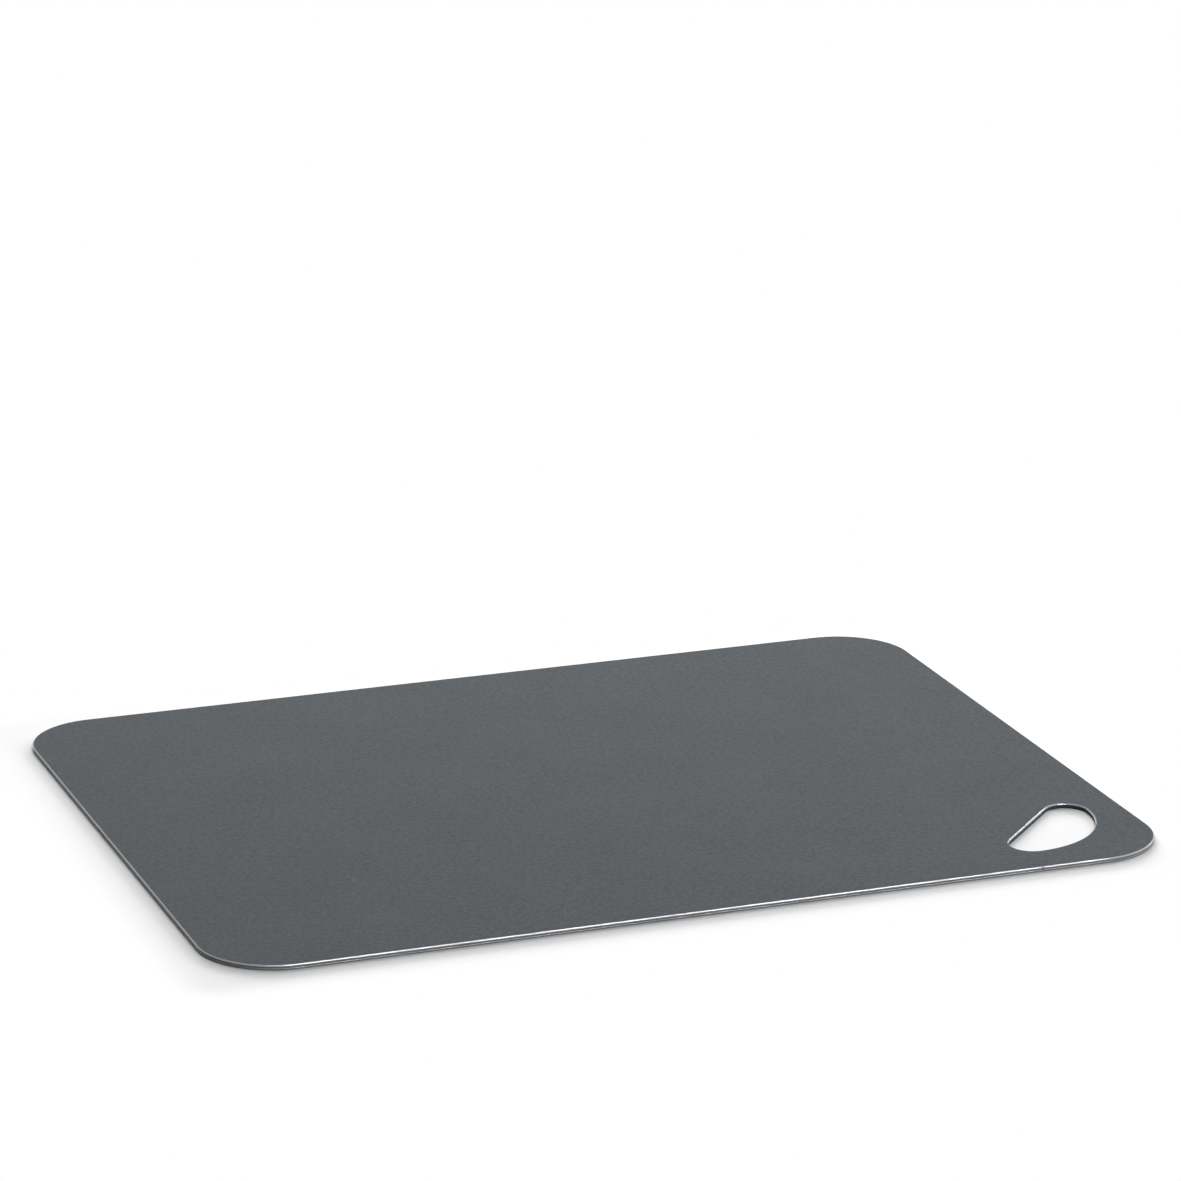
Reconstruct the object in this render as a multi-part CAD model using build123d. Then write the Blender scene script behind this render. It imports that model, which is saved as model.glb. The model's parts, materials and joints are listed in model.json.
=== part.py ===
from build123d import *
import math
import os

# A flexible cutting mat: a smooth cutting sheet bonded onto a soft grip backing, with a D-shaped
# grip hole through one corner. The origin is the middle of the underside. +X runs along the long
# side towards the corner with the hole, +Y away from the front edge, +Z up. Sizes are millimetres.
# Both layers are divided at the lines where the mat is let bend, so that each strip between two
# bend lines is a solid of its own. The bend lines lie on the cutting face. The strips touch face
# to face while the mat lies flat, and open from below as the mat curls up.

# Outline of the mat
mat_length = 380.0
mat_width = 290.0
corner_radius = 30.0

# Layers, from the worktop up
backing_thickness = 0.8
sheet_thickness = 1.2

# Bevels that run round the outline and round the hole
sheet_top_bevel = 0.5
sheet_seam_bevel = 0.1
backing_seam_bevel = 0.15
backing_foot_bevel = 0.2

# Grip hole: a straight side, a round belly that faces the corner, and two rounded ends
hole_length = 57.0
hole_depth = 25.0
hole_end_radius = 8.5
hole_from_side = 43.0
hole_from_front = 45.3
hole_facing = -45.0

# Bend lines, which run across the mat along Y
bends_per_side = 12
flap_land = 7.0

# Overrun of the blocks that divide a layer, past its faces
cut_overrun = 1.0

QUARTER_TURN = 90.0
HALF_TURN = 180.0

# Middle of the hole's straight side, and the hole's inmost reach along X
hole_x = mat_length / 2 - hole_from_side
hole_y = hole_from_front - mat_width / 2
end_offset = hole_length / 2 - hole_end_radius
facing_cos = math.cos(math.radians(hole_facing))
facing_sin = math.sin(math.radians(hole_facing))
hole_inner_x = hole_x - end_offset * abs(facing_sin) + hole_end_radius * (facing_cos - 1)

# The end flap holds the whole hole and stays flat, and the rest is divided into equal strips
flap_length = mat_length / 2 - hole_inner_x + flap_land
strip_count = 2 * bends_per_side - 1
strip_length = (mat_length - 2 * flap_length) / strip_count


def belly_radius():
    """Radius of the arc that touches both end arcs and reaches the hole's full depth."""
    rise = hole_depth - hole_end_radius
    return (rise**2 + end_offset**2 - hole_end_radius**2) / (2 * (hole_depth - 2 * hole_end_radius))


def hole_face():
    """The hole's outline as a face, in place in the mat's corner."""
    radius = belly_radius()
    centre_y = hole_depth - radius
    lean = math.degrees(math.atan2(hole_end_radius - centre_y, end_offset))
    end_sweep = QUARTER_TURN + lean
    right_end = CenterArc((end_offset, hole_end_radius), hole_end_radius, -QUARTER_TURN, end_sweep)
    belly = CenterArc((0, centre_y), radius, lean, HALF_TURN - 2 * lean)
    left_end = CenterArc((-end_offset, hole_end_radius), hole_end_radius, HALF_TURN - lean, end_sweep)
    straight = Line((-end_offset, 0), (end_offset, 0))
    outline = make_face([right_end, belly, left_end, straight])
    return Location((hole_x, hole_y, 0), (0, 0, hole_facing - QUARTER_TURN)) * outline


def layer(floor_z, thickness, top_bevel, bottom_bevel):
    """One whole layer of the mat, with its bevels round the outline and the hole."""
    outline = RectangleRounded(mat_length, mat_width, corner_radius) - hole_face()
    slab = extrude(outline, thickness)
    slab = chamfer(slab.faces().sort_by(Axis.Z)[-1].edges(), top_bevel)
    slab = chamfer(slab.faces().sort_by(Axis.Z)[0].edges(), bottom_bevel)
    return Pos(0, 0, floor_z) * slab


def spans():
    """Each strip's name with its lowest and its highest x."""
    first_bend = strip_length / 2
    found = {"middle": (-first_bend, first_bend)}
    for number in range(1, bends_per_side):
        inner = first_bend + (number - 1) * strip_length
        outer = inner + strip_length
        found[f"right_{number:02d}"] = (inner, outer)
        found[f"left_{number:02d}"] = (-outer, -inner)
    last_bend = mat_length / 2 - flap_length
    found["right_flap"] = (last_bend, mat_length / 2 + cut_overrun)
    found["left_flap"] = (-mat_length / 2 - cut_overrun, -last_bend)
    return found


def divide(slab, low_x, high_x):
    """The part of a layer that lies between two values of x."""
    box = slab.bounding_box()
    width = box.size.Y + 2 * cut_overrun
    height = box.size.Z + 2 * cut_overrun
    block = Box(high_x - low_x, width, height)
    return slab & (Pos((low_x + high_x) / 2, box.center().Y, box.center().Z) * block)


def main():
    """Writes one file for each strip of each layer."""
    os.makedirs("parts", exist_ok=True)
    layers = {
        "grip_backing": layer(0, backing_thickness, backing_seam_bevel, backing_foot_bevel),
        "cutting_sheet": layer(backing_thickness, sheet_thickness, sheet_top_bevel, sheet_seam_bevel),
    }
    for layer_name, slab in layers.items():
        for strip_name, (low_x, high_x) in spans().items():
            piece = divide(slab, low_x, high_x)
            export_step(piece, f"parts/{layer_name}_{strip_name}.step")


main()
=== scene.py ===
"""A flexible cutting mat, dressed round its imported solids.

The mat is a grained plastic cutting sheet bonded onto a soft grip backing, with a D-shaped grip
hole through its front right corner. Each half curls upwards about twelve bend lines. Lengths are
in metres, in the frame of the solids: the origin is the middle of the underside, +X runs along the
long side towards the hole, +Y away from the front edge, and +Z up.
"""

import json
import logging
import math
from dataclasses import dataclass
from enum import Enum

import bpy
import numpy as np
from mathutils import Matrix, Vector


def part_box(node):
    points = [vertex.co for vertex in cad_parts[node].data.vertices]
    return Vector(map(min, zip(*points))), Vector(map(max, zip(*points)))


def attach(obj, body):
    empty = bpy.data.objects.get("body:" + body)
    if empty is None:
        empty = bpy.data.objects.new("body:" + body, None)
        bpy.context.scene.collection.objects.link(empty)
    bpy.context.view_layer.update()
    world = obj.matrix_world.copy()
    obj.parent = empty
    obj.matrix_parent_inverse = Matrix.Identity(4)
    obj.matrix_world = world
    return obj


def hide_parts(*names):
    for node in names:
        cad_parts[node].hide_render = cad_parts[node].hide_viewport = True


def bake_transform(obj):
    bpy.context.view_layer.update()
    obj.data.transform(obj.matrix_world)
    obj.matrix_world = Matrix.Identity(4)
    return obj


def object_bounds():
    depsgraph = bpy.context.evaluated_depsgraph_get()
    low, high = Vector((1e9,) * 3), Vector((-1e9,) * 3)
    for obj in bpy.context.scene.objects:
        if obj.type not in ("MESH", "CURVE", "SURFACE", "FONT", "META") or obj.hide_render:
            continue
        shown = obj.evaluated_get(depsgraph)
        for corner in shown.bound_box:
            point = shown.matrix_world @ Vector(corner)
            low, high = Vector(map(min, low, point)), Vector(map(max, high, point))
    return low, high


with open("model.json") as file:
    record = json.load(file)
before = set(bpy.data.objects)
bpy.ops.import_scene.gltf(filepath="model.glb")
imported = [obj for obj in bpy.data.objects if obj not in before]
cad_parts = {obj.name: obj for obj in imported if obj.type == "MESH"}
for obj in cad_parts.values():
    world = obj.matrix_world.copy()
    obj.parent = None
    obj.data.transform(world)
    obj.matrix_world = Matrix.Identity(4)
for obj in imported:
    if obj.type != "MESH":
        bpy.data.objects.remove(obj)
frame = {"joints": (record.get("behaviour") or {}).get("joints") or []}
CAD_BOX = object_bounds()

LOG = logging.getLogger("cutting_mat")

MM = 0.001
QUARTER_TURN = math.pi / 2
HALF_TURN = math.pi
FULL_TURN = 2 * math.pi
SHARP_ANGLE = math.radians(40)
FLAT_PLACE = "flat_place"

# Points along a part of an outline, and a direction for each
Stretch = tuple[np.ndarray, np.ndarray]


class Side(Enum):
    """The two halves of the mat, which curl up by themselves."""

    RIGHT = 1
    LEFT = -1

    @property
    def word(self) -> str:
        """The half's name, as the solids have it."""
        return self.name.lower()


class Zone(Enum):
    """The kinds of surface on a layer. Each value is the number of its finish on the mesh."""

    TOP = 0
    RIM = 1
    WALL = 2
    BORE = 3
    UNDER = 4


def from_hex(code: str) -> tuple[float, float, float, float]:
    """Turns an sRGB colour into the linear colour that a shader takes.

    A channel up to 0.04045 is divided by 12.92. Above that, 0.055 is added, the sum is divided by
    1.055 and taken to the power 2.4.

    Args:
        code: Six hex digits, red first.

    Returns:
        Linear red, green and blue, and an alpha of 1.
    """
    channels = np.array([int(code[at : at + 2], 16) for at in (0, 2, 4)]) / 255
    linear = np.where(channels <= 0.04045, channels / 12.92, ((channels + 0.055) / 1.055) ** 2.4)
    return (*(float(value) for value in linear), 1.0)


def per_metre(size_mm: float) -> float:
    """The texture scale at which one cell of a pattern measures size_mm."""
    return 1 / (size_mm * MM)


def live(sockets: bpy.types.bpy_prop_collection, name: str | int) -> bpy.types.NodeSocket:
    """Finds a socket that the node's settings leave in use.

    Args:
        sockets: The node's inputs or outputs.
        name: The socket's name or number.

    Returns:
        The socket.
    """
    if isinstance(name, int):
        return sockets[name]
    return next(socket for socket in sockets if socket.name == name and socket.enabled)


def add_node(
    tree: bpy.types.NodeTree,
    kind: str,
    settings: dict[str | int, object] | None = None,
    links: dict[str | int, bpy.types.NodeSocket] | None = None,
    output: str | int = 0,
) -> bpy.types.NodeSocket | None:
    """Adds one shader node with its settings and its links.

    Args:
        tree: The tree that gets the node.
        kind: The node's class, without ShaderNode in front.
        settings: Values by the name of a property, or by the name or number of an input. The
            properties come first, because they decide which inputs are in use.
        links: Output sockets by the name or number of the input that each feeds.
        output: The name or number of the output that is handed back.

    Returns:
        That output socket of the new node, or None where the node has no outputs.
    """
    node = tree.nodes.new("ShaderNode" + kind)
    for name, value in (settings or {}).items():
        if isinstance(name, str) and hasattr(node, name):
            setattr(node, name, value)
        else:
            live(node.inputs, name).default_value = value
    for name, source in (links or {}).items():
        tree.links.new(source, live(node.inputs, name))
    return live(node.outputs, output) if len(node.outputs) else None


def empty_material(name: str) -> bpy.types.Material:
    """Adds a material that uses nodes and has none yet.

    Args:
        name: The material's name.

    Returns:
        The material.
    """
    material = bpy.data.materials.new(name)
    material.use_nodes = True
    material.node_tree.nodes.clear()
    return material


@dataclass(frozen=True)
class Mark:
    """A short scuff, speck or nick: an ellipse in plan, in millimetres and degrees."""

    x: float
    y: float
    half_length: float
    half_width: float
    turn: float
    strength: float

    def share(self, tree: bpy.types.NodeTree, place: bpy.types.NodeSocket) -> bpy.types.NodeSocket:
        """Adds the nodes that say how strongly the mark shows at a place.

        The place is moved to the mark's middle, turned along it and divided by its half sizes. The
        length of what that gives fades smoothly, from the strength at 0 to nothing at 1.

        Args:
            tree: The tree that gets the nodes.
            place: The socket with the place on the flat mat.

        Returns:
            The socket with the mark's share.
        """
        settings = {
            "vector_type": "TEXTURE",
            "Location": (self.x * MM, self.y * MM, 0),
            "Rotation": (0, 0, math.radians(self.turn)),
            "Scale": (self.half_length * MM, self.half_width * MM, 1),
        }
        local = add_node(tree, "Mapping", settings, {"Vector": place})
        reach = add_node(tree, "VectorMath", {"operation": "LENGTH"}, {0: local}, "Value")
        settings = {
            "interpolation_type": "SMOOTHSTEP",
            "From Min": 1.0,
            "From Max": 0.0,
            "To Max": self.strength,
        }
        return add_node(tree, "MapRange", settings, {"Value": reach})


@dataclass(frozen=True)
class GrainedPolypropylene:
    """Calendered polypropylene with a fine matte grain: the face that is cut on.

    It gives the eye a flat slate grey with hardly any shine, a dust of lighter and darker grains,
    a faint unevenness from use, and a few scuffs. The real grains are too fine to show, so they are
    drawn coarser: a little under a millimetre wide, which is half a cell of their pattern. Sizes
    are in millimetres.
    """

    name: str = "grained_polypropylene"
    dark: str = "313538"
    light: str = "65696c"
    scuffed: str = "8c8f91"
    ior: float = 1.49
    specular: float = 0.15
    roughness: tuple[float, float] = (0.66, 0.78)
    grain: float = 1.7
    grain_height: float = 0.02
    grain_layers: float = 2.0
    grain_fineness: float = 0.6
    cloud: float = 45.0
    cloud_layers: float = 4.0
    cloud_fineness: float = 0.5
    cloud_share: float = 0.17
    marks: tuple[Mark, ...] = (
        Mark(-146.0, 1.0, 3.0, 0.5, 12.0, 0.35),
        Mark(-136.0, -33.0, 0.9, 0.9, 0.0, 0.3),
        Mark(-116.0, -70.0, 1.0, 0.8, 0.0, 0.3),
        Mark(70.0, 28.0, 0.8, 0.8, 0.0, 0.25),
        Mark(134.0, -7.5, 2.6, 0.5, 20.0, 0.3),
    )

    def make(self) -> bpy.types.Material:
        """Builds the finish: two tones mixed by the grain and a soft cloud, under the marks.

        Both are noises of a few layers, each half the size of the one before. Where marks overlap,
        the stronger one shows.

        Returns:
            The material.
        """
        material = empty_material(self.name)
        tree = material.node_tree
        place = add_node(tree, "Attribute", {"attribute_name": FLAT_PLACE}, output="Vector")
        settings = {
            "Scale": per_metre(self.grain),
            "Detail": self.grain_layers,
            "Roughness": self.grain_fineness,
        }
        grain = add_node(tree, "TexNoise", settings, {"Vector": place})
        settings = {
            "Scale": per_metre(self.cloud),
            "Detail": self.cloud_layers,
            "Roughness": self.cloud_fineness,
        }
        cloud = add_node(tree, "TexNoise", settings, {"Vector": place})
        settings = {"data_type": "FLOAT", "Factor": self.cloud_share}
        share = add_node(tree, "Mix", settings, {"A": grain, "B": cloud}, "Result")
        settings = {"data_type": "RGBA", "A": from_hex(self.dark), "B": from_hex(self.light)}
        tone = add_node(tree, "Mix", settings, {"Factor": share}, "Result")
        worn = self.marks[0].share(tree, place)
        for mark in self.marks[1:]:
            links = {0: worn, 1: mark.share(tree, place)}
            worn = add_node(tree, "Math", {"operation": "MAXIMUM"}, links)
        settings = {"data_type": "RGBA", "B": from_hex(self.scuffed)}
        colour = add_node(tree, "Mix", settings, {"Factor": worn, "A": tone}, "Result")
        settings = {"To Min": self.roughness[0], "To Max": self.roughness[1]}
        roughness = add_node(tree, "MapRange", settings, {"Value": grain})
        settings = {"Strength": 1.0, "Distance": self.grain_height * MM}
        relief = add_node(tree, "Bump", settings, {"Height": grain})
        settings = {"IOR": self.ior, "Specular IOR Level": self.specular}
        links = {"Base Color": colour, "Roughness": roughness, "Normal": relief}
        shader = add_node(tree, "BsdfPrincipled", settings, links)
        add_node(tree, "OutputMaterial", links={"Surface": shader})
        return material


@dataclass(frozen=True)
class CutPlastic:
    """Plastic that a blade or a punch has cut, with faint score lines along the cut.

    The lines are too fine for a picture of the whole mat and keep their real size, because a
    wall of about a millimetre has no room for coarser ones. A nick breaks the surface with a
    dull dark spot. Sizes are in millimetres.
    """

    name: str
    dark: str
    light: str
    specular: float
    roughness: tuple[float, float]
    ior: float = 1.49
    score: float = 0.12
    score_length: float = 6.0
    score_height: float = 0.004
    score_layers: float = 3.0
    nicks: tuple[Mark, ...] = ()
    nicked: str = "2e3134"

    def make(self) -> bpy.types.Material:
        """Builds the finish: two tones mixed by the score lines, under the nicks.

        The score lines are a noise that is squeezed in height and long in plan. A nick mixes in its
        own tone and adds its share to the roughness.

        Returns:
            The material.
        """
        material = empty_material(self.name)
        tree = material.node_tree
        place = add_node(tree, "Attribute", {"attribute_name": FLAT_PLACE}, output="Vector")
        along, across = per_metre(self.score_length), per_metre(self.score)
        spread = add_node(tree, "Mapping", {"Scale": (along, along, across)}, {"Vector": place})
        settings = {"Scale": 1.0, "Detail": self.score_layers}
        score = add_node(tree, "TexNoise", settings, {"Vector": spread})
        settings = {"data_type": "RGBA", "A": from_hex(self.dark), "B": from_hex(self.light)}
        colour = add_node(tree, "Mix", settings, {"Factor": score}, "Result")
        settings = {"To Min": self.roughness[0], "To Max": self.roughness[1]}
        roughness = add_node(tree, "MapRange", settings, {"Value": score})
        for nick in self.nicks:
            share = nick.share(tree, place)
            settings = {"data_type": "RGBA", "B": from_hex(self.nicked)}
            colour = add_node(tree, "Mix", settings, {"Factor": share, "A": colour}, "Result")
            roughness = add_node(tree, "Math", {"operation": "ADD"}, {0: roughness, 1: share})
        settings = {"Strength": 1.0, "Distance": self.score_height * MM}
        relief = add_node(tree, "Bump", settings, {"Height": score})
        settings = {"IOR": self.ior, "Specular IOR Level": self.specular}
        links = {"Base Color": colour, "Roughness": roughness, "Normal": relief}
        shader = add_node(tree, "BsdfPrincipled", settings, links)
        add_node(tree, "OutputMaterial", links={"Surface": shader})
        return material


@dataclass(frozen=True)
class BurnishedRim(CutPlastic):
    """Cut polypropylene on the sheet's bevels and the backing's seam bevel, smooth enough to mirror
    the light above.

    Its pale tones add painted highlight on top of that real gloss, so the bevels give the eye a thin
    bright line.
    """

    name: str = "burnished_polypropylene_rim"
    # The pale tones are painted highlight: they make the bevel's line brighter than its gloss alone
    # mirrors.
    dark: str = "989b9d"
    light: str = "adb0b2"
    specular: float = 1.0
    roughness: tuple[float, float] = (0.07, 0.11)
    nicks: tuple[Mark, ...] = (Mark(132.2, -144.8, 0.9, 0.7, 0.0, 0.85),)


@dataclass(frozen=True)
class CutSheetWall(CutPlastic):
    """Polypropylene cut square: the wall of the sheet. It gives the eye a dull mid grey band.

    Its tones are paler than the face's, partly as painted light that matches the lit front wall.
    """

    name: str = "cut_polypropylene_wall"
    # Paler than the face: partly painted light on the wall.
    dark: str = "5b5f62"
    light: str = "6b6f72"
    specular: float = 0.03
    roughness: tuple[float, float] = (0.5, 0.66)


@dataclass(frozen=True)
class CutBackingWall(CutPlastic):
    """Elastomer cut square: the wall of the backing. It gives the eye a slightly paler band.

    Its tones are paler than the elastomer's faces, partly as painted light that matches the lit front
    wall.
    """

    name: str = "cut_elastomer_wall"
    # Paler than the elastomer's faces: partly painted light on the wall.
    dark: str = "676b6e"
    light: str = "777b7e"
    specular: float = 0.03
    roughness: tuple[float, float] = (0.5, 0.66)


@dataclass(frozen=True)
class PunchedBore(CutPlastic):
    """Both layers punched through: the wall of the grip hole.

    Its tones are darker than the outer walls' as painted shade inside the hole, so it gives the eye a
    dark, dull band.
    """

    name: str = "punched_bore_wall"
    # Darker than the outer walls: painted shade inside the hole.
    dark: str = "3a3e41"
    light: str = "4a4e52"
    specular: float = 0.04
    roughness: tuple[float, float] = (0.5, 0.66)


@dataclass(frozen=True)
class GripElastomer:
    """Soft thermoplastic elastomer, moulded matte: the backing that grips the worktop.

    It gives the eye a darker, duller grey than the sheet above it, with a very fine pebble. Sizes
    are in millimetres.
    """

    name: str = "grip_elastomer"
    dark: str = "35383a"
    light: str = "434749"
    ior: float = 1.5
    roughness: tuple[float, float] = (0.74, 0.86)
    pebble: float = 0.7
    pebble_height: float = 0.03
    pebble_softness: float = 0.6

    def make(self) -> bpy.types.Material:
        """Builds the finish: rounded pebbles, from the distance to the nearest of many points.

        Returns:
            The material.
        """
        material = empty_material(self.name)
        tree = material.node_tree
        place = add_node(tree, "Attribute", {"attribute_name": FLAT_PLACE}, output="Vector")
        settings = {
            "feature": "SMOOTH_F1",
            "Scale": per_metre(self.pebble),
            "Smoothness": self.pebble_softness,
        }
        pebble = add_node(tree, "TexVoronoi", settings, {"Vector": place})
        settings = {"data_type": "RGBA", "A": from_hex(self.light), "B": from_hex(self.dark)}
        colour = add_node(tree, "Mix", settings, {"Factor": pebble}, "Result")
        settings = {"To Min": self.roughness[0], "To Max": self.roughness[1]}
        roughness = add_node(tree, "MapRange", settings, {"Value": pebble})
        settings = {"invert": True, "Strength": 1.0, "Distance": self.pebble_height * MM}
        relief = add_node(tree, "Bump", settings, {"Height": pebble})
        links = {"Base Color": colour, "Roughness": roughness, "Normal": relief}
        shader = add_node(tree, "BsdfPrincipled", {"IOR": self.ior}, links)
        add_node(tree, "OutputMaterial", links={"Surface": shader})
        return material


@dataclass(frozen=True)
class Loop:
    """A closed line in plan, counter-clockwise, with the way into the material at each point."""

    points: np.ndarray
    inward: np.ndarray

    def mirrored(self) -> "Loop":
        """The same loop on the other half: x changes sign, and the order turns round."""
        flip = np.array([-1.0, 1.0])
        return Loop((self.points * flip)[::-1], (self.inward * flip)[::-1])

    def bearings(self, centre: np.ndarray) -> np.ndarray:
        """The bearing of each point from a centre that the loop goes round."""
        offset = self.points - centre
        return np.arctan2(offset[:, 1], offset[:, 0])

    def at(self, centre: np.ndarray, bearings: np.ndarray) -> "Loop":
        """Reads the loop at some bearings, in a straight line between two of its own points.

        Args:
            centre: A place that the loop goes round.
            bearings: The bearings from there, rising.

        Returns:
            A loop with one point for each bearing.
        """
        own = self.bearings(centre)
        columns = np.concatenate([self.points, self.inward], axis=1).T
        read = [np.interp(bearings, own, column, period=FULL_TURN) for column in columns]
        table = np.stack(read, axis=1)
        return Loop(table[:, :2], table[:, 2:])

    def rows(self, section: np.ndarray) -> np.ndarray:
        """Carries an edge section along the loop.

        Each point moves into the material by the section's inset and stands at its height.

        Args:
            section: Insets and heights, one row of two for each line along the edge.

        Returns:
            Points by section row, by place along the loop, by coordinate.
        """
        plan = self.points[None] + section[:, 0, None, None] * self.inward[None]
        height = np.broadcast_to(section[:, 1, None, None], (*plan.shape[:2], 1))
        return np.concatenate([plan, height], axis=2)


def arc(
    centre: tuple[float, float], radius: float, start: float, sweep: float, steps: int
) -> Stretch:
    """Points at equal angles on a circle, which start at one angle and go through a sweep.

    At each angle the point lies the radius times its cosine and its sine from the middle.

    Args:
        centre: The circle's middle.
        radius: The circle's radius.
        start: The first point's angle.
        sweep: The angle from the first point to the last.
        steps: How many stretches the sweep has.

    Returns:
        The points, and for each the way out from the middle.
    """
    angles = start + sweep * np.linspace(0, 1, steps + 1)
    outward = np.stack([np.cos(angles), np.sin(angles)], axis=1)
    return np.array(centre) + radius * outward, outward


def joined(stretches: list[Stretch]) -> Loop:
    """Joins stretches that follow each other round into a loop, each without its last point.

    Args:
        stretches: The points of each stretch, with the way into the material at each.

    Returns:
        The loop.
    """
    points = np.concatenate([points[:-1] for points, _ in stretches])
    inward = np.concatenate([inward[:-1] for _, inward in stretches])
    return Loop(points, inward)


@dataclass(frozen=True)
class MatPlan:
    """The mat seen from above. Its length, width, strips and bend lines come from the solids."""

    length: float
    width: float
    strip_length: float
    bends_per_side: int
    corner_radius: float = 30.0 * MM
    hole_length: float = 57.0 * MM
    hole_depth: float = 25.0 * MM
    hole_end_radius: float = 8.5 * MM
    hole_from_side: float = 43.0 * MM
    hole_from_front: float = 45.3 * MM
    hole_facing: float = math.radians(-45)
    line_step: float = 10.0 * MM
    arc_step: float = math.radians(3)

    @classmethod
    def from_frame(cls) -> "MatPlan":
        """Reads the length, the width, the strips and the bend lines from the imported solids.

        Returns:
            The plan.
        """
        low, high = CAD_BOX
        strip_low, strip_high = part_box("cutting_sheet_middle")
        prefix = f"{Side.RIGHT.word}_bend_"
        bends = [joint for joint in frame["joints"] if joint["name"].startswith(prefix)]
        return cls(high.x - low.x, high.y - low.y, strip_high.x - strip_low.x, len(bends))

    @property
    def flap_start(self) -> float:
        """Where the part begins that stays flat: half a strip past the last bend line."""
        return self.bends_per_side * self.strip_length

    def line(
        self,
        start: tuple[float, float],
        end: tuple[float, float],
        inward: tuple[float, float],
        inward_end: tuple[float, float],
    ) -> Stretch:
        """Evenly spaced points on a straight line, with the way inward turned evenly along it.

        Each point is the start times one less its share of the way, plus the end times that share.

        Args:
            start: The first point.
            end: The last point.
            inward: The way into the material at the start.
            inward_end: The way into the material at the end.

        Returns:
            The points, and for each the way into the material.
        """
        reach = math.dist(start, end)
        share = np.linspace(0, 1, max(1, round(reach / self.line_step)) + 1)[:, None]
        points = np.array(start) * (1 - share) + np.array(end) * share
        return points, np.array(inward) * (1 - share) + np.array(inward_end) * share

    def flap_loop(self, side: Side) -> Loop:
        """The outline of an end flap: front edge, corner, short side, corner, back edge, cut line.

        Along the outer edges the way inward is square to the edge. Along the cut line it turns
        evenly from the front edge's way to the back edge's, so it lies in the cut and the section
        at both its ends is the same as on the strip beside it.

        Args:
            side: The half that the flap ends.

        Returns:
            The outline.
        """
        half_width = self.width / 2
        end = self.length / 2
        radius = self.corner_radius
        into_front, into_back, into_side = (0.0, 1.0), (0.0, -1.0), (-1.0, 0.0)
        steps = round(QUARTER_TURN / self.arc_step)
        front = (end - radius, radius - half_width)
        back = (end - radius, half_width - radius)
        front_points, front_out = arc(front, radius, -QUARTER_TURN, QUARTER_TURN, steps)
        back_points, back_out = arc(back, radius, 0, QUARTER_TURN, steps)
        cut_front, cut_back = (self.flap_start, -half_width), (self.flap_start, half_width)
        loop = joined(
            [
                self.line(cut_front, (front[0], -half_width), into_front, into_front),
                (front_points, -front_out),
                self.line((end, front[1]), (end, back[1]), into_side, into_side),
                (back_points, -back_out),
                self.line((back[0], half_width), cut_back, into_back, into_back),
                self.line(cut_back, cut_front, into_back, into_front),
            ]
        )
        return loop if side is Side.RIGHT else loop.mirrored()

    def hole_centre(self) -> np.ndarray:
        """The middle of the hole's straight side."""
        return np.array([self.length / 2 - self.hole_from_side, self.hole_from_front - self.width / 2])

    def hole_loop(self) -> Loop:
        """The outline of the grip hole: an end arc, the belly arc, an end arc, the straight side.

        The belly touches both end arcs and reaches the full depth. So its radius is the square of
        the rise above the end arcs' middles, plus that of their offset, less that of their radius,
        over twice the depth less four times their radius. The outline is drawn with the straight
        side along its own first axis, then turned so that the belly faces the corner. The way
        into the material is out of the hole.

        Returns:
            The outline.
        """
        end = self.hole_end_radius
        offset = self.hole_length / 2 - end
        rise = self.hole_depth - end
        belly = (rise**2 + offset**2 - end**2) / (2 * (self.hole_depth - 2 * end))
        belly_y = self.hole_depth - belly
        lean = math.atan2(end - belly_y, offset)
        sweep = QUARTER_TURN + lean
        steps = round(sweep / self.arc_step)
        belly_steps = round((HALF_TURN - 2 * lean) / self.arc_step)
        down = (0.0, -1.0)
        drawn = joined(
            [
                arc((offset, end), end, -QUARTER_TURN, sweep, steps),
                arc((0.0, belly_y), belly, lean, HALF_TURN - 2 * lean, belly_steps),
                arc((-offset, end), end, HALF_TURN - lean, sweep, steps),
                self.line((-offset, 0.0), (offset, 0.0), down, down),
            ]
        )
        turn = self.hole_facing - QUARTER_TURN
        turned = np.array([[math.cos(turn), math.sin(turn)], [-math.sin(turn), math.cos(turn)]])
        return Loop(drawn.points @ turned + self.hole_centre(), drawn.inward @ turned)


def rounded(
    before: np.ndarray, corner: np.ndarray, after: np.ndarray, radius: float, steps: int
) -> np.ndarray:
    """Rounds one corner of a section with an arc that turns to the left.

    The arc starts its tangent's length before the corner, which is the radius times the tangent of
    half the turn. At an angle a along it, a point lies sin a radii on, and 1 - cos a radii left.

    Args:
        before: The point before the corner.
        corner: The corner.
        after: The point after it.
        radius: The arc's radius.
        steps: How many stretches the arc has.

    Returns:
        The arc's points.
    """
    on = (corner - before) / np.linalg.norm(corner - before)
    leaving = (after - corner) / np.linalg.norm(after - corner)
    left = np.array([-on[1], on[0]])
    turn = math.atan2(leaving @ left, leaving @ on)
    angle = np.linspace(0, turn, steps + 1)[:, None]
    start = corner - on * radius * math.tan(turn / 2)
    return start + radius * (np.sin(angle) * on + (1 - np.cos(angle)) * left)


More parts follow.
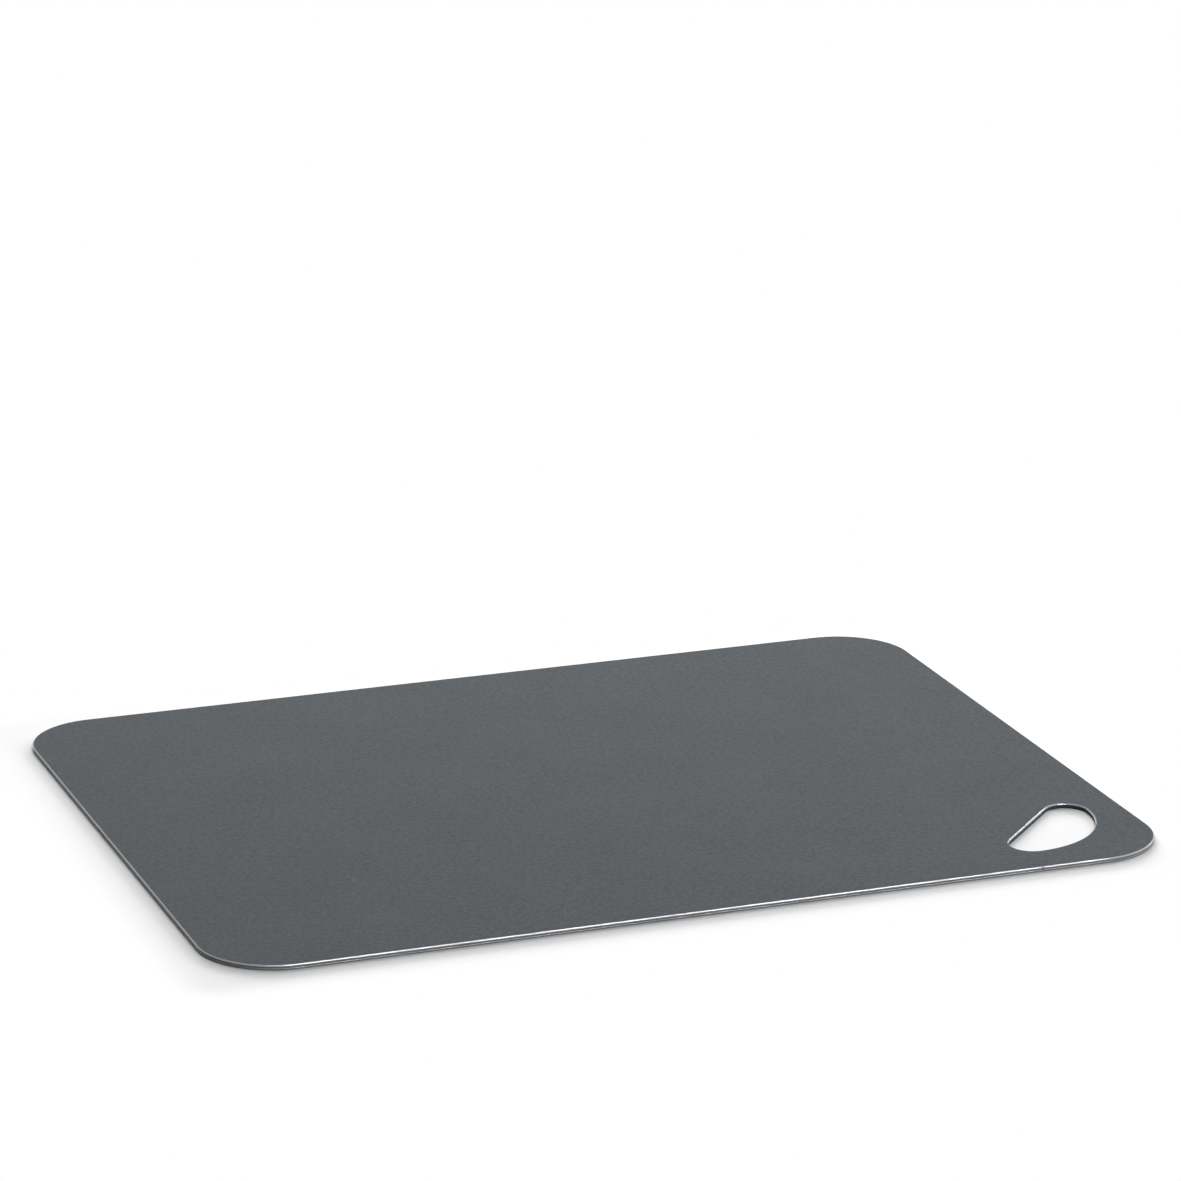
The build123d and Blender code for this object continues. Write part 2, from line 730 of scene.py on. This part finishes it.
@dataclass(frozen=True)
class EdgeSection:
    """A layer's edge in section: its heights, its two bevels, and how far their corners round."""

    floor: float
    top: float
    top_bevel: float
    floor_bevel: float
    top_round: float
    floor_round: float
    round_steps: int = 4
    margin: float = 0.4 * MM

    def bands(self, rim: Zone = Zone.RIM, wall: Zone = Zone.WALL) -> list[int]:
        """The zone of each stretch of the section, from the top face to the underside.

        The upper bevel's zone starts and ends half-way round the bevel's two corners. Bevel and
        wall may be one zone, as they are in the backing's part of the hole.

        Args:
            rim: The zone of the upper bevel.
            wall: The zone of the wall and of the lower bevel.

        Returns:
            The zones' numbers.
        """
        half = self.round_steps // 2
        counts = {Zone.TOP: 1 + half, rim: 2 * half + 1}
        counts[wall] = counts.get(wall, 0) + 2 * self.round_steps + 2 + half
        counts[Zone.UNDER] = 1
        return [zone.value for zone, count in counts.items() for _ in range(count)]

    def line(self) -> np.ndarray:
        """The section from the top face, over the edge, to the underside.

        Its corners are where top face, bevel, wall, bevel and underside meet. A point a margin
        further in, on each face, keeps the shading of the wide faces flat.

        Returns:
            Insets and heights, one row of two for each point.
        """
        corners = np.array(
            [
                (self.top_bevel + self.margin, self.top),
                (self.top_bevel, self.top),
                (0, self.top - self.top_bevel),
                (0, self.floor + self.floor_bevel),
                (self.floor_bevel, self.floor),
                (self.floor_bevel + self.margin, self.floor),
            ]
        )
        radii = (self.top_round, self.top_round, self.floor_round, self.floor_round)
        arcs = [
            rounded(*corners[at : at + 3], radius, self.round_steps)
            for at, radius in enumerate(radii)
        ]
        return np.concatenate([corners[:1], *arcs, corners[-1:]])


@dataclass(frozen=True)
class Skin:
    """A closed surface: its points, its faces, and the zone of each face."""

    points: np.ndarray
    faces: list[list[int]]
    zones: np.ndarray

    def make(self, name: str, finishes: list[bpy.types.Material]) -> bpy.types.Object:
        """Turns the surface into an object at the origin.

        Each point also keeps its place on the flat mat as an attribute, which the finishes read,
        so that their patterns bend with the mat.

        Args:
            name: The piece's name.
            finishes: The materials in the order of the zones.

        Returns:
            The object, linked to the scene.
        """
        mesh = bpy.data.meshes.new(name)
        mesh.from_pydata(self.points, [], self.faces)
        mesh.polygons.foreach_set("material_index", self.zones.astype(np.int32))
        flat = mesh.attributes.new(FLAT_PLACE, "FLOAT_VECTOR", "POINT")
        flat.data.foreach_set("vector", self.points.astype(np.float32).ravel())
        for finish in finishes:
            mesh.materials.append(finish)
        mesh.shade_smooth()
        mesh.set_sharp_from_angle(angle=SHARP_ANGLE)
        piece = bpy.data.objects.new(name, mesh)
        bpy.context.scene.collection.objects.link(piece)
        return piece


def grid_faces(rows: int, columns: int, rows_close: bool, columns_close: bool) -> np.ndarray:
    """The four-sided faces of a grid of points that are numbered row by row.

    Each face goes from its first corner to the next row, then to the next column, and back. Past
    the last row or column comes the first one again, if they close.

    Args:
        rows: How many rows the grid has.
        columns: How many columns it has.
        rows_close: Whether the last row meets the first.
        columns_close: Whether the last column meets the first.

    Returns:
        Four point numbers for each face, row by row.
    """
    row = np.arange(rows if rows_close else rows - 1)[:, None]
    column = np.arange(columns if columns_close else columns - 1)[None]
    next_row, next_column = (row + 1) % rows, (column + 1) % columns
    corners = [(row, column), (next_row, column), (next_row, next_column), (row, next_column)]
    return np.stack([at * columns + beside for at, beside in corners], axis=-1).reshape(-1, 4)


@dataclass
class Layer:
    """One of the two bonded layers: a row of skins about the bend lines, and two end flaps that stay
    flat.
    """

    plan: MatPlan
    finishes: dict[Zone, bpy.types.Material]
    name: str
    solid: str
    slot: str
    top_bevel: float
    floor_bevel: float
    top_round: float
    floor_round: float
    hole_rim: Zone
    steps_per_bend: int = 12
    steps_across: int = 24
    flap_rings: int = 6
    least_bearing_gap: float = math.radians(0.1)

    def section(self) -> EdgeSection:
        """The layer's edge, with its heights taken from the solids.

        Returns:
            The section.
        """
        low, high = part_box(f"{self.solid}_middle")
        bevels = (self.top_bevel, self.floor_bevel, self.top_round, self.floor_round)
        return EdgeSection(low.z, high.z, *bevels)

    def bodies(self, side: Side) -> list[str]:
        """The bodies of one half, from the middle strip outwards."""
        strips = [f"{side.word}_{number:02d}" for number in range(1, self.plan.bends_per_side)]
        return ["middle", *strips, f"{side.word}_flap"]

    def bend_skin(self, side: Side, number: int) -> Skin:
        """The skin about one bend line, from the middle of one strip to the middle of the next.

        The closed section across the mat is the edge line at the front, an even run to the back,
        the edge line again in reverse order, and an even run to the front. It is repeated at even
        steps along x, and closed at both ends.

        Args:
            side: The half that the bend line is on.
            number: The bend line, counted from the middle, from 1.

        Returns:
            The surface.
        """
        section = self.section()
        edge = section.line()
        across = self.steps_across
        front = edge[:, 0] - self.plan.width / 2
        under = np.linspace(front[-1], -front[-1], across + 1)[1:-1]
        over = np.linspace(-front[0], front[0], across + 1)[1:-1]
        ring_y = np.concatenate([front, under, -front[::-1], over])
        heights = [edge[:, 1], np.full(across - 1, edge[-1, 1]), edge[::-1, 1]]
        ring_z = np.concatenate([*heights, np.full(across - 1, edge[0, 1])])
        ends = sorted(side.value * self.plan.strip_length * at for at in (number - 1, number))
        along = np.linspace(*ends, self.steps_per_bend + 1)
        rings, columns = len(ring_y), len(along)
        points = np.empty((rings, columns, 3))
        points[..., 0] = along
        points[..., 1] = ring_y[:, None]
        points[..., 2] = ring_z[:, None]
        edge_bands = section.bands()
        under_bands, over_bands = [Zone.UNDER.value] * across, [Zone.TOP.value] * across
        bands = [*edge_bands, *under_bands, *edge_bands[::-1], *over_bands]
        sides = grid_faces(rings, columns, True, False).tolist()
        first = (np.arange(rings)[::-1] * columns).tolist()
        last = (np.arange(rings) * columns + columns - 1).tolist()
        zones = np.concatenate([np.repeat(bands, columns - 1), [Zone.WALL.value] * 2])
        return Skin(points.reshape(-1, 3), [*sides, first, last], zones)

    def holed_flap_skin(self, side: Side, hole: Loop) -> Skin:
        """The end flap that has the grip hole, as rings round the hole.

        Both outlines are read at the same bearings from the hole's own middle: all bearings of the
        mat's outline, and those of the hole that don't nearly repeat one. The rings go from
        the hole's upper rim straight to the outline, over its edge, back along the underside, and
        up the hole's wall. The rings between two outlines are even shares of the way.

        Args:
            side: The half that the flap ends.
            hole: The hole's outline.

        Returns:
            The surface.
        """
        outline = self.plan.flap_loop(side)
        centre = hole.points.mean(axis=0)
        own, theirs = outline.bearings(centre), hole.bearings(centre)
        apart = np.abs(theirs[:, None] - own[None]).min(axis=1) > self.least_bearing_gap
        bearings = np.sort(np.concatenate([own, theirs[apart]]))
        section = self.section()
        edge = section.line()
        outer = outline.at(centre, bearings).rows(edge)
        inner = hole.at(centre, bearings).rows(edge)
        share = np.linspace(0, 1, self.flap_rings + 1)[1:-1, None, None]
        over = inner[0] * (1 - share) + outer[0] * share
        under = outer[-1] * (1 - share) + inner[-1] * share
        points = np.concatenate([over, outer, under, inner[::-1]])
        outer_bands = section.bands()
        inner_bands = section.bands(self.hole_rim, Zone.BORE)[::-1]
        over_bands, under_bands = ([zone.value] * self.flap_rings for zone in (Zone.TOP, Zone.UNDER))
        zones = [*over_bands[1:], *outer_bands, *under_bands, *inner_bands, over_bands[0]]
        faces = grid_faces(len(points), len(bearings), True, True).tolist()
        return Skin(points.reshape(-1, 3), faces, np.repeat(zones, len(bearings)))

    def plain_flap_skin(self, side: Side) -> Skin:
        """The end flap without a hole, as rings round its middle, closed by a fan at each face.

        The rings on a face are the outline drawn together towards the middle by even shares.

        Args:
            side: The half that the flap ends.

        Returns:
            The surface.
        """
        outline = self.plan.flap_loop(side)
        section = self.section()
        edge = section.line()
        outer = outline.rows(edge)
        middle = outline.points.mean(axis=0)
        top_pole, under_pole = np.array([*middle, edge[0, 1]]), np.array([*middle, edge[-1, 1]])
        share = np.linspace(0, 1, self.flap_rings + 1)[1:-1, None, None]
        over = top_pole * (1 - share) + outer[0] * share
        under = outer[-1] * (1 - share) + under_pole * share
        rings = np.concatenate([over, outer, under])
        count, columns = rings.shape[:2]
        over_bands, under_bands = ([zone.value] * len(over) for zone in (Zone.TOP, Zone.UNDER))
        zones = [*over_bands, *section.bands(), *under_bands]
        at = np.arange(columns)
        after = (at + 1) % columns
        pole = count * columns
        last = (count - 1) * columns
        top_fan = np.stack([np.full(columns, pole), at, after], axis=1).tolist()
        under_fan = np.stack([last + at, np.full(columns, pole + 1), last + after], axis=1).tolist()
        faces = [*grid_faces(count, columns, False, True).tolist(), *top_fan, *under_fan]
        fans = np.repeat([Zone.TOP.value, Zone.UNDER.value], columns)
        points = np.concatenate([rings.reshape(-1, 3), [top_pole, under_pole]])
        return Skin(points, faces, np.concatenate([np.repeat(zones, columns), fans]))

    def build(self) -> list[bpy.types.Object]:
        """Makes every piece of the layer and ties each end flap to the body that it moves with.

        Returns:
            The pieces.
        """
        finishes = [self.finishes[zone] for zone in Zone]
        pieces = []
        for side in Side:
            bodies = self.bodies(side)
            for number in range(1, self.plan.bends_per_side + 1):
                name = f"{self.name}_{side.word}_bend_{number:02d}"
                piece = self.bend_skin(side, number).make(name, finishes)
                nearer, further = bodies[number - 1], bodies[number]
                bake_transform(piece)
                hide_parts(f"{self.solid}_{nearer}", f"{self.solid}_{further}")
                pieces.append(piece)
            if side is Side.RIGHT:
                skin = self.holed_flap_skin(side, self.plan.hole_loop())
            else:
                skin = self.plain_flap_skin(side)
            piece = skin.make(f"{self.name}_{side.word}_flap", finishes)
            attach(piece, bodies[-1])
            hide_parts(f"{self.solid}_{bodies[-1]}")
            pieces.append(piece)
        for piece in pieces:
            LOG.info("%s: %d faces", piece.name, len(piece.data.polygons))
        return pieces


@dataclass
class CuttingLayer(Layer):
    """The upper layer, whose wide bevel runs round the mat and the hole as a bright line.

    That line is a real highlight from the bevel's gloss, brightened by painted highlight in the rim's
    pale tones.
    """

    name: str = "cutting_layer"
    solid: str = "cutting_sheet"
    slot: str = "cutting_sheet"
    top_bevel: float = 0.5 * MM
    floor_bevel: float = 0.1 * MM
    top_round: float = 0.15 * MM
    floor_round: float = 0.1 * MM
    hole_rim: Zone = Zone.RIM


@dataclass
class GripLayer(Layer):
    """The lower layer, whose upper bevel shows as the thin seam line in the edge.

    That bevel takes the rim's pale tones, so the seam line is partly painted highlight; in the hole it
    takes the bore's painted shade.
    """

    name: str = "grip_layer"
    solid: str = "grip_backing"
    slot: str = "grip_backing"
    top_bevel: float = 0.15 * MM
    floor_bevel: float = 0.2 * MM
    top_round: float = 0.1 * MM
    floor_round: float = 0.15 * MM
    hole_rim: Zone = Zone.BORE


@dataclass(frozen=True)
class Softbox:
    """A rectangular studio light with an even face, given by its brightness.

    One that isn't mirrored lights the mat but doesn't show in its glossy surfaces.
    """

    name: str
    place: tuple[float, float, float]
    aim: tuple[float, float, float]
    size: tuple[float, float]
    brightness: float
    mirrored: bool = True

    def make(self) -> None:
        """Adds the lamp, with its brightness times its area times pi as its power."""
        lamp = bpy.data.lights.new(self.name, "AREA")
        lamp.shape = "RECTANGLE"
        lamp.size, lamp.size_y = self.size
        lamp.energy = self.brightness * self.size[0] * self.size[1] * math.pi
        holder = bpy.data.objects.new(self.name, lamp)
        facing = (Vector(self.aim) - Vector(self.place)).to_track_quat("-Z", "Y")
        holder.matrix_world = Matrix.Translation(self.place) @ facing.to_matrix().to_4x4()
        holder.visible_glossy = self.mirrored
        bpy.context.scene.collection.objects.link(holder)


@dataclass
class Studio:
    """White tabletop, soft lights and the camera, as in the photograph.

    The overhead strip lies along the front edge, so that the front bevel mirrors it from end to
    end, and its dim end fades that line out round the corner. The glint does the same for the
    straight side of the hole. The low box behind the mat gives the long soft shadow in front.
    """

    plan: MatPlan
    camera_place: tuple[float, float, float] = (-0.673219, -1.818359, 0.685737)
    camera_yaw: float = -0.3566
    camera_pitch: float = 0.3017
    camera_roll: float = 0.0029
    sensor: float = 36.0
    lens: float = 159.60
    nearest: float = 0.05
    furthest: float = 50.0
    floor_size: float = 12.0
    floor_drop: float = 0.05 * MM
    fade_from: float = 4.0 * MM
    fade_to: float = 20.0 * MM
    table_white: str = "f8f8f8"
    background_white: str = "ffffff"
    fill: float = 0.04
    lights: tuple[Softbox, ...] = (
        Softbox("overhead_strip", (0.32, -0.64, 1.2), (0.32, -0.05, 0.0), (0.9, 0.08), 23.5),
        Softbox("strip_end", (-0.32, -0.57, 1.2), (-0.16, -0.13, 0.0), (0.36, 0.06), 7.0),
        Softbox("low_back_box", (0.81, 2.26, 0.51), (0.0, 0.0, 0.0), (1.94, 0.4), 38.0, False),
        Softbox("middle_back_box", (0.45, 2.05, 0.95), (0.0, 0.0, 0.0), (1.3, 0.62), 8.5, False),
        Softbox("high_back_box", (-0.2, 0.95, 1.05), (0.0, 0.0, 0.0), (0.6, 0.5), 5.2, False),
        Softbox("right_glint", (1.31, 0.64, 0.64), (0.0, 0.0, 0.0), (0.35, 0.35), 9.0),
        Softbox("right_box", (1.5, 0.5, 0.5), (0.0, 0.0, 0.0), (0.5, 0.3), 13.0, False),
        Softbox("low_front_fill", (1.3, -2.1, 0.2), (0.0, 0.0, 0.0), (2.0, 0.36), 15.0, False),
    )

    def build(self) -> None:
        """Adds the tabletop, the lights, the surroundings and the camera."""
        self.make_tabletop()
        for light in self.lights:
            light.make()
        self.make_surroundings()
        self.make_camera()
        bpy.context.scene.view_settings.view_transform = "Standard"

    def seen_share(self, tree: bpy.types.NodeTree) -> bpy.types.NodeSocket:
        """Adds the nodes that tell a ray that sees the background from one that carries light.

        Args:
            tree: The tree that gets the nodes.

        Returns:
            The socket that is 1 for a ray from the camera, a mirror or a clear body, and else 0.
        """
        share = add_node(tree, "LightPath", output="Is Camera Ray")
        for kind in ("Is Glossy Ray", "Is Transmission Ray"):
            ray = add_node(tree, "LightPath", output=kind)
            share = add_node(tree, "Math", {"operation": "MAXIMUM"}, {0: share, 1: ray})
        return share

    def make_tabletop(self) -> None:
        """Adds a white tabletop that keeps the mat's shadow and turns pure white further out.

        How far a place lies from the mat's rectangle is the length of what is left of its x and y,
        without their signs, past half the mat's length and width. The pure white fades in smoothly
        over that distance, for the rays that see the background.
        """
        half = self.floor_size / 2
        corners = [(-half, -half), (half, -half), (half, half), (-half, half)]
        mesh = bpy.data.meshes.new("tabletop")
        mesh.from_pydata([(x, y, -self.floor_drop) for x, y in corners], [], [(0, 1, 2, 3)])
        tabletop = bpy.data.objects.new("tabletop", mesh)
        bpy.context.scene.collection.objects.link(tabletop)
        material = empty_material("white_tabletop")
        mesh.materials.append(material)
        tree = material.node_tree
        place = add_node(tree, "TexCoord", output="Object")
        reach = add_node(tree, "VectorMath", {"operation": "ABSOLUTE"}, {0: place})
        settings = {"operation": "SUBTRACT", 1: (self.plan.length / 2, self.plan.width / 2, 0)}
        past = add_node(tree, "VectorMath", settings, {0: reach})
        past = add_node(tree, "VectorMath", {"operation": "MAXIMUM"}, {0: past})
        gap = add_node(tree, "VectorMath", {"operation": "LENGTH"}, {0: past}, "Value")
        settings = {
            "interpolation_type": "SMOOTHSTEP",
            "From Min": self.fade_from,
            "From Max": self.fade_to,
        }
        fade = add_node(tree, "MapRange", settings, {"Value": gap})
        links = {0: fade, 1: self.seen_share(tree)}
        share = add_node(tree, "Math", {"operation": "MULTIPLY"}, links)
        matte = add_node(tree, "BsdfDiffuse", {"Color": from_hex(self.table_white)})
        white = add_node(tree, "Emission")
        shader = add_node(tree, "MixShader", links={0: share, 1: matte, 2: white})
        add_node(tree, "OutputMaterial", links={"Surface": shader})

    def make_surroundings(self) -> None:
        """Adds a white world at full strength where it is seen, and a weaker fill elsewhere."""
        world = bpy.data.worlds.new("white_studio")
        world.use_nodes = True
        world.node_tree.nodes.clear()
        bpy.context.scene.world = world
        tree = world.node_tree
        settings = {"To Min": self.fill, "To Max": 1.0}
        strength = add_node(tree, "MapRange", settings, {"Value": self.seen_share(tree)})
        settings = {"Color": from_hex(self.background_white)}
        white = add_node(tree, "Background", settings, {"Strength": strength})
        add_node(tree, "OutputWorld", links={"Surface": white})

    def make_camera(self) -> None:
        """Adds the camera: turned about the upright, tipped down, and rolled about its own view."""
        camera = bpy.data.cameras.new("camera")
        camera.sensor_width = self.sensor
        camera.lens = self.lens
        camera.clip_start, camera.clip_end = self.nearest, self.furthest
        holder = bpy.data.objects.new("camera", camera)
        holder.matrix_world = (
            Matrix.Translation(self.camera_place)
            @ Matrix.Rotation(self.camera_yaw, 4, "Z")
            @ Matrix.Rotation(QUARTER_TURN - self.camera_pitch, 4, "X")
            @ Matrix.Rotation(self.camera_roll, 4, "Z")
        )
        bpy.context.scene.collection.objects.link(holder)
        bpy.context.scene.camera = holder


def main() -> None:
    """Builds the mat's two layers and the studio round them, and reports each piece."""
    logging.basicConfig(level=logging.INFO, format="%(name)s: %(message)s")
    plan = MatPlan.from_frame()
    face = GrainedPolypropylene().make()
    wall = CutSheetWall().make()
    grip = GripElastomer().make()
    cut_grip = CutBackingWall().make()
    # The rim's pale tones are painted highlight; the bore's dark tones are painted shade.
    edges = {Zone.RIM: BurnishedRim().make(), Zone.BORE: PunchedBore().make()}
    sheet = CuttingLayer(plan, {Zone.TOP: face, Zone.WALL: wall, Zone.UNDER: wall, **edges})
    backing = GripLayer(plan, {Zone.TOP: grip, Zone.WALL: cut_grip, Zone.UNDER: grip, **edges})
    pieces = [*sheet.build(), *backing.build()]
    Studio(plan).build()
    LOG.info("%d pieces", len(pieces))


if __name__ == "__main__":
    main()
